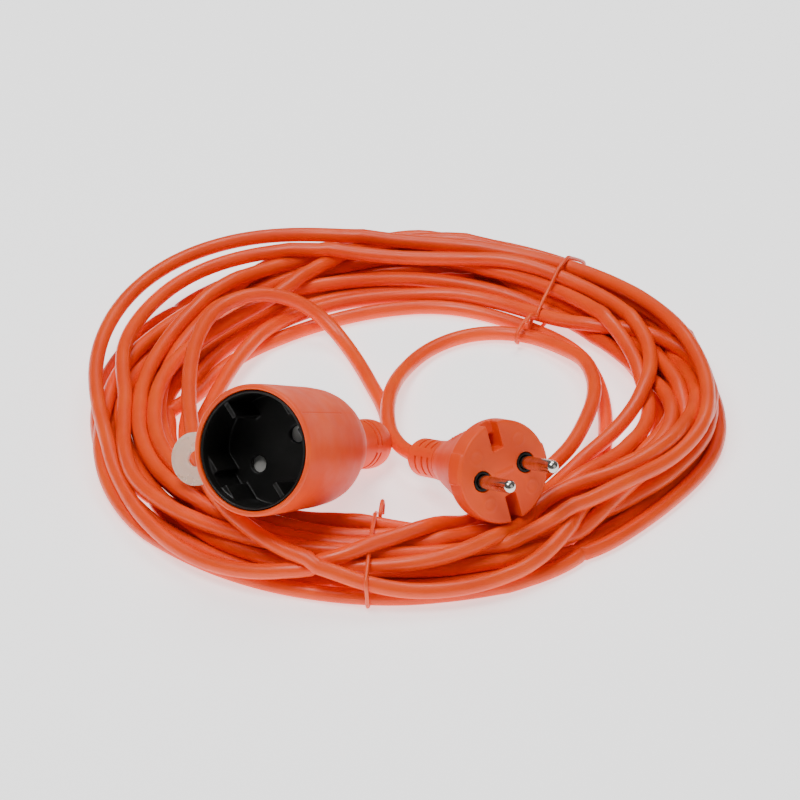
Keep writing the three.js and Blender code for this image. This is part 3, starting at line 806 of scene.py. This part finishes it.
LAND_DISTANCE = 17.3  # of each flat land from the axis
LAND_START = 4  # behind the face
LAND_SLOT = 5.8  # width of the slot in a land
LAND_SLOT_END = CUP_RADIUS - 0.4  # the slot stops short of the cup's wall
RIB_INNER, RIB_HALF = 13.9, 1  # a rib's distance from the axis, and half its width
socket_cup = add_piece(
    "socket_cup",
    *turned([
        (0, -21.2), (19.1, -21.2), (19.1, -21.7), (INSERT_RADIUS, -21.7), (INSERT_RADIUS, -1.1),
        (20.9, -0.7), (20.55, -0.5), (20.2, -0.7), (20.05, -1.2), (CUP_RADIUS, -1.6),
        (CUP_RADIUS, -CUP_DEPTH), (0, -CUP_DEPTH),
    ]),
    black_plastic, SOCKET_PLACE,
)
root_radius, root_z = CUP_RADIUS + SUNK, -CUP_DEPTH - SUNK
land_arc = math.acos(LAND_DISTANCE / root_radius)
land_angles = [land_arc * (k / 10 - 1) for k in range(21)]
land = prism([polar(root_radius, angle) for angle in land_angles], root_z, -LAND_START)
land_slot = block(
    (LAND_DISTANCE - 1, LAND_SLOT_END), (-LAND_SLOT / 2, LAND_SLOT / 2), (-CUP_DEPTH + 0.01, 0),
)
rib = block((-RIB_HALF, RIB_HALF), (RIB_INNER, root_radius), (root_z, -2))
hole = disc(PIN_HOLE_RADIUS, (-22.5, -CUP_DEPTH + 1), PIN_OFFSET)
moulded(
    socket_cup,
    both_sides(land) + both_sides(rib),
    both_sides(land_slot) + both_sides(hole),
    voxel=0.35, passes=2,
)


# ---- Strain reliefs ----
SLOT_WIDTH = 1.15
SLOT_EDGE = 0.03  # half the run from a slot's wall to the sleeve's outside


def relief(name, outline, slots, chord, half_width, place):
    """A tapered sleeve. At each of the z places in slots, a slot is cut into its four sides, with a
    flat floor at the chord's distance from the axis, half_width to either side."""
    outer = max(radius for radius, _ in outline)

    def shape(radius, z, angle):
        from_side = math.remainder(angle, math.pi / 2)
        in_slot = any(abs(z - slot) < SLOT_WIDTH / 2 for slot in slots)
        if radius > chord and in_slot and abs(math.sin(from_side)) * outer < half_width:
            return min(radius, chord / math.cos(from_side))
        return radius

    stations = fine(outline, 0.8)
    first = next(index for index, (radius, _) in enumerate(stations) if radius > chord)
    stations = stations[first:] + stations[:first]
    inside = [(radius, z) for radius, z in stations if radius <= chord]
    outside = sorted(((radius, z) for radius, z in stations if radius > chord), key=lambda at: at[1])
    heights = [z for _, z in outside]
    reach = [radius for radius, _ in outside]
    for slot in slots:
        for step in (-SLOT_WIDTH / 2, SLOT_WIDTH / 2):
            for wall in (slot + step - SLOT_EDGE, slot + step + SLOT_EDGE):
                outside.append((float(np.interp(wall, heights, reach)), wall))
    outside.sort(key=lambda at: at[1])
    edge = math.asin(half_width / outer)
    lines = [math.pi / 2 * quarter + side * edge for quarter in range(4) for side in (-1, 1)]
    return add_piece(
        name, *turned(outside + inside, shape=shape, spun=near_lines(lines, 0.012, 96)),
        orange_moulding, place, sharp=40,
    )


SOCKET_END_Z = -92
socket_relief = relief(
    "socket_relief",
    [
        (CORD_BORE, SOCKET_END_Z), (7.3, SOCKET_END_Z), (8.3, SOCKET_END_Z + 0.3),
        (8.9, SOCKET_END_Z + 1), (9.2, SOCKET_END_Z + 2.4), (9.4, SOCKET_END_Z + 5),
        (9.2, SOCKET_END_Z + 12), (8.6, SOCKET_END_Z + 15.5), (8.2, SOCKET_END_Z + 18),
        (7.8, -64.3), (CORD_BORE, -64.3),
    ],
    slots=[SOCKET_END_Z + 9.5, SOCKET_END_Z + 12.3], chord=7, half_width=5.6, place=SOCKET_PLACE,
)
PLUG_END_Z = -55
plug_relief = relief(
    "plug_relief",
    [
        (CORD_BORE, PLUG_END_Z), (6, PLUG_END_Z), (6.7, PLUG_END_Z + 0.4), (7.1, PLUG_END_Z + 1.5),
        (7.15, PLUG_END_Z + 12), (7.7, -36.8), (CORD_BORE, -36.8),
    ],
    slots=[PLUG_END_Z + 6, PLUG_END_Z + 10.5, PLUG_END_Z + 15], chord=5.2, half_width=3.9,
    place=PLUG_PLACE,
)

# ---- Hang eye: a disc of milky plastic whose tongue goes into the socket's side ----
EYE_DISTANCE = 33.9  # of its middle from the socket's axis
EYE_DEPTH = 19  # behind the socket's face
EYE_ANGLE = math.radians(152)
EYE_RADIUS, EYE_HOLE = 9.7, 2.8
EYE_HALF = 0.75  # half its thickness
WEB_HALF = EYE_HALF - 0.2  # half the thickness between the two raised rims
EYE_RIM = [
    (EYE_RADIUS, -EYE_HALF, 0.35), (EYE_RADIUS, EYE_HALF, 0.35), (8.9, EYE_HALF, 0.2),
    (8.5, WEB_HALF, 0.2), (3.9, WEB_HALF, 0.2), (3.5, EYE_HALF, 0.2), (EYE_HOLE, EYE_HALF, 0.3),
    (EYE_HOLE, -EYE_HALF, 0.3), (3.5, -EYE_HALF, 0.2), (3.9, -WEB_HALF, 0.2),
    (8.5, -WEB_HALF, 0.2), (8.9, -EYE_HALF, 0.2),
]
TONGUE_HALF = 4  # half its width
hang_tab = add_piece(
    "hang_tab",
    *moved(turned(filleted(EYE_RIM)), x=EYE_DISTANCE, z=-EYE_DEPTH),
    milky_plastic, SOCKET_PLACE @ Matrix.Rotation(EYE_ANGLE, 4, "Z"),
)
tongue = block(
    (21.8, EYE_DISTANCE - EYE_HOLE - 1.2), (-TONGUE_HALF, TONGUE_HALF),
    (-EYE_DEPTH - EYE_HALF, -EYE_DEPTH + EYE_HALF),
)
inside_housing = disc(23.1, (-EYE_DEPTH - 5, -EYE_DEPTH + 5), angles=96)
moulded(hang_tab, [tongue], [inside_housing], voxel=0.2, passes=2)

# ---- Plug end, in millimetres ----
HEAD_RADIUS = 18.6
NOTCH_HALF = 2.4
BRIDGE = (-12, 12), (-4, 4), (-12.5, -7)  # the pin carrier's two ends along x, y and z
BRIDGE_GAP = 0.3
COLLAR_RADIUS, COLLAR_BORE = 3.45, 2.72
PIN_RADIUS, PIN_LENGTH, TIP_LENGTH = 2.4, 19, 2.2
MARK_PLACES = [(-9.5, 9), (9, 9.3), (9.5, -9), (-9.3, -9)]
plug_shell = add_piece(
    "plug_shell",
    *turned(fine([
        (0, -36.5), (7.8, -36.5), (8, -36), (8.4, -34), (10, -30), (12, -24), (14, -18),
        (15.8, -13), (17.2, -10), (18.2, -8.6), (HEAD_RADIUS, -7.6), (HEAD_RADIUS, -0.6),
        (18.3, -0.1), (17.9, 0), (0, 0),
    ], 2)),
    orange_moulding, PLUG_PLACE,
)


def ring_sector(inner, outer, first, last, z0, z1):
    """A piece of a ring, from the first to the last angle in degrees."""
    rim = [(outer, angle) for angle in range(first, last + 1, 2)]
    rim += [(inner, angle) for angle in range(last, first - 1, -2)]
    return prism([polar(radius, math.radians(angle)) for radius, angle in rim], z0, z1)


mark = turned([(2.1, -0.4), (2.5, -0.4), (2.5, 0.18), (2.1, 0.18)], 32)
marks = [moved(mark, x, y) for x, y in MARK_PLACES]
side_tabs = [ring_sector(17, 19.25, *angles, -7.4, -0.9) for angles in ((-24, 12), (140, 174))]
ridge = block((-3.6, 3.6), (-0.5, 0.5), (-0.5, 0.35))
neck_ribs = [
    prism([(x, 8), (x + 0.7, 8), (x + 0.7, reach), (x, reach)], z - 1, z + 1)
    for x in (-3.8, -1.9, 0, 1.9, 3.8)
    for z, reach in ((-23, 12.3), (-21, 13), (-19, 13.7), (-17, 14.4))
]
notches = [
    block((-NOTCH_HALF, NOTCH_HALF), (-20, -8.5), (-10, 1)),
    block((-NOTCH_HALF, NOTCH_HALF), (8.5, 13.8), (-10, 1)),
    block((-NOTCH_HALF, NOTCH_HALF), (13.3, 20), (-4.5, 1)),
]
bridge_hollow = [
    *both_sides(disc(3.75, (-8, 1), PIN_OFFSET)),
    block(*[(low - BRIDGE_GAP, high + BRIDGE_GAP) for low, high in BRIDGE]),
]
core_hollow = turned([
    (0, -37.5), (CORD_BORE, -37.5), (CORD_BORE, -30), (11.6, -17.4), (11.6, -12.7), (0, -12.7),
], 48)
moulded(
    plug_shell,
    [*marks, *side_tabs, ridge, *neck_ribs],
    [*notches, *bridge_hollow, core_hollow],
    voxel=0.35, passes=3,
)

pin_carrier = add_piece("pin_carrier", *block(*BRIDGE), black_plastic, PLUG_PLACE)
collar = turned(filleted([
    (COLLAR_BORE, -8, 0), (COLLAR_RADIUS, -8, 0), (COLLAR_RADIUS, -0.1, 0.15),
    (COLLAR_BORE, -0.1, 0.1),
]), 48)
tip_angles = [math.pi / 2 * k / 8 for k in range(8)]
pin_tip = [
    (PIN_RADIUS * math.cos(angle), PIN_LENGTH - TIP_LENGTH + TIP_LENGTH * math.sin(angle))
    for angle in tip_angles
]
pin = turned([
    (0, -16.2), (1.6, -16.2), (1.6, -12.8), (PIN_RADIUS, -12.8), *pin_tip, (0, PIN_LENGTH),
], 48)
pins = []
for side, position in ((-1, "left"), (1, "right")):
    pin_hole = disc(2.7, (-13, 1), side * PIN_OFFSET)
    moulded(pin_carrier, [moved(collar, side * PIN_OFFSET)], [pin_hole])
    pin_place = PLUG_PLACE @ Matrix.Translation((side * PIN_OFFSET * MM, 0, 0))
    pins.append(add_piece(f"pin_{position}", *pin, nickel, pin_place))


# ---- The two wire ties ----
TIE_RADIUS = 0.75 * MM
TIE_OFF = CORD_RADIUS + TIE_RADIUS + 0.1 * MM  # of the wire's middle from a strand's middle
TIE_SPREAD = 2.4 * MM  # sideways, between the two tails
BUNDLE_MIDDLE, BUNDLE_WIDTH = 0.1, 0.04


def strands_at(azimuth, skip_last_turn):
    """Where the coil's turns cross the half plane at the azimuth, as (radius, z)."""
    degrees = np.degrees(np.unwrap(np.arctan2(coil_points[:, 1], coil_points[:, 0])))
    degrees += LEADS_START - degrees[0]
    radii = np.hypot(coil_points[:, 0], coil_points[:, 1])
    last = COIL_END - (360 if skip_last_turn else 0)
    crossings = [azimuth + 360 * turn for turn in range(COIL_TURNS + 2)]
    return [
        (np.interp(at, degrees, radii), np.interp(at, degrees, coil_points[:, 2]))
        for at in crossings if COIL_START < at < last
    ]


def hull_round(centres, reach, sides=16):
    """The convex outline round circles of that reach, anticlockwise."""
    around = [2 * math.pi * k / sides for k in range(sides)]
    points = sorted(
        (r + reach * math.cos(angle), z + reach * math.sin(angle))
        for r, z in centres for angle in around
    )

    def chain(ordered):
        """One half of the outline: it never turns clockwise."""
        kept = []
        for point in ordered:
            while len(kept) > 1:
                (a, b), (c, d) = kept[-2:]
                if (c - a) * (point[1] - b) - (d - b) * (point[0] - a) > 0:
                    break
                kept.pop()
            kept.append(point)
        return kept[:-1]

    return chain(points) + chain(points[::-1])


def tie(name, azimuth, skip_last_turn, start, slant, tails):
    """A wire loop round the coil's strands, which begins and ends near the start, a (radius,
    height). Its two free tails are lists of the same, one before and one after the loop. Slant is
    how far the loop's outer side lies ahead of its inner side."""
    outline = hull_round(strands_at(azimuth, skip_last_turn), TIE_OFF)
    first = min(range(len(outline)), key=lambda k: math.dist(outline[k], start))
    outline = outline[first:] + outline[:first + 1]
    route = [*tails[0], *outline, *tails[1]]
    angle = math.radians(azimuth)
    points = []
    for index, (distance, height) in enumerate(route):
        aside = TIE_SPREAD * (0.5 - index / (len(route) - 1))
        aside += slant * (distance - BUNDLE_MIDDLE) / BUNDLE_WIDTH
        points.append((
            distance * math.cos(angle) - aside * math.sin(angle),
            distance * math.sin(angle) + aside * math.cos(angle),
            max(height, TIE_RADIUS + 0.1 * MM),
        ))
    return wire(name, curve_through(points, 0.8 * MM), TIE_RADIUS, tie_plastic)


tie_front = tie(
    "tie_front", azimuth=-96.4, skip_last_turn=True, start=(0.080, 0.016), slant=1 * MM,
    tails=(
        [(0.0745, 0.0110), (0.0712, 0.0128), (0.0722, 0.0150), (0.0758, 0.0158)],
        [(0.0765, 0.0120), (0.0735, 0.0105)],
    ),
)
tie_rear = tie(
    "tie_rear", azimuth=52, skip_last_turn=False, start=(0.079, 0.010), slant=5.2 * MM,
    tails=(
        [(0.0690, 0.0028), (0.0672, 0.0050), (0.0690, 0.0085), (0.0740, 0.0105)],
        [(0.0745, 0.0130), (0.0712, 0.0118)],
    ),
)

# ---- What each piece is, rides on and replaces ----
# The places are applied to the meshes, so that each piece's box is its true one.
for piece in (socket_shell, socket_cup, socket_relief, hang_tab, plug_shell, plug_relief, pin_carrier):
    piece.data.transform(piece.matrix_world)
    piece.matrix_world = Matrix()

for piece, slot, replaced in (
    (cord, "orange_pvc", ("cord_coil", "socket_lead", "plug_lead")),
    (socket_shell, "moulded_orange", ("socket_housing",)),
    (socket_cup, "black_plastic", ("socket_insert",)),
    (socket_relief, "moulded_orange", ("socket_strain_relief",)),
    (hang_tab, "milky_plastic", ("hang_eye",)),
    (plug_shell, "moulded_orange", ("plug_body",)),
    (plug_relief, "moulded_orange", ("plug_strain_relief",)),
    (pin_carrier, "black_plastic", ("pin_bridge",)),
    (pins[0], "nickel", ("plug_pin_left",)),
    (pins[1], "nickel", ("plug_pin_right",)),
    (tie_front, "tie_plastic", ("coil_tie_front",)),
    (tie_rear, "tie_plastic", ("coil_tie_rear",)),
):
    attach(piece, "cord_set")
    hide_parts(*replaced)


# ---- Floor and light ----
FLOOR_HALF = 6.0
FLOOR_SQUARES = 12  # along each side


def make_floor():
    """A pale floor that glows a little, so that it comes out lighter than the lamps make it."""
    shader = Shader("pale_floor", Roughness=0.9, Specular_IOR_Level=0.1,
                    Emission_Color=(1, 1, 1, 1), Emission_Strength=1.1)
    pale, paler = srgb(250, 250, 250), srgb(253, 253, 253)
    shader.colour(shader.ramp(shader.noise(3, 2), (0.3, pale), (0.7, paler)))
    row = FLOOR_SQUARES + 1
    lines = [-FLOOR_HALF + 2 * FLOOR_HALF * k / FLOOR_SQUARES for k in range(row)]
    corners = [start * row + k for start in range(FLOOR_SQUARES) for k in range(FLOOR_SQUARES)]
    mesh = bpy.data.meshes.new("floor")
    mesh.from_pydata(
        [(x, y, 0) for y in lines for x in lines], [],
        [(corner, corner + 1, corner + row + 1, corner + row) for corner in corners],
    )
    mesh.materials.append(shader.material)
    floor = bpy.data.objects.new("floor", mesh)
    bpy.context.scene.collection.objects.link(floor)


def make_area_light(name, position, size, power):
    """A square lamp that shines at the middle of the coil."""
    data = bpy.data.lights.new(name, "AREA")
    data.energy = power
    data.size = size
    light = bpy.data.objects.new(name, data)
    light.location = position
    light.rotation_euler = Vector(position).to_track_quat("Z", "Y").to_euler()
    bpy.context.scene.collection.objects.link(light)


def make_world(strength):
    world = bpy.data.worlds.new("studio")
    world.use_nodes = True
    background = world.node_tree.nodes["Background"]
    background.inputs["Color"].default_value = (1, 1, 1, 1)
    background.inputs["Strength"].default_value = strength
    bpy.context.scene.world = world


make_floor()
make_world(strength=0.12)
make_area_light("key", (-0.4, -0.3, 1.4), size=0.6, power=15)
make_area_light("fill", (1.2, -1.0, 0.9), size=1.2, power=2.5)
make_area_light("top", (0.2, 0.7, 1.4), size=0.8, power=11)
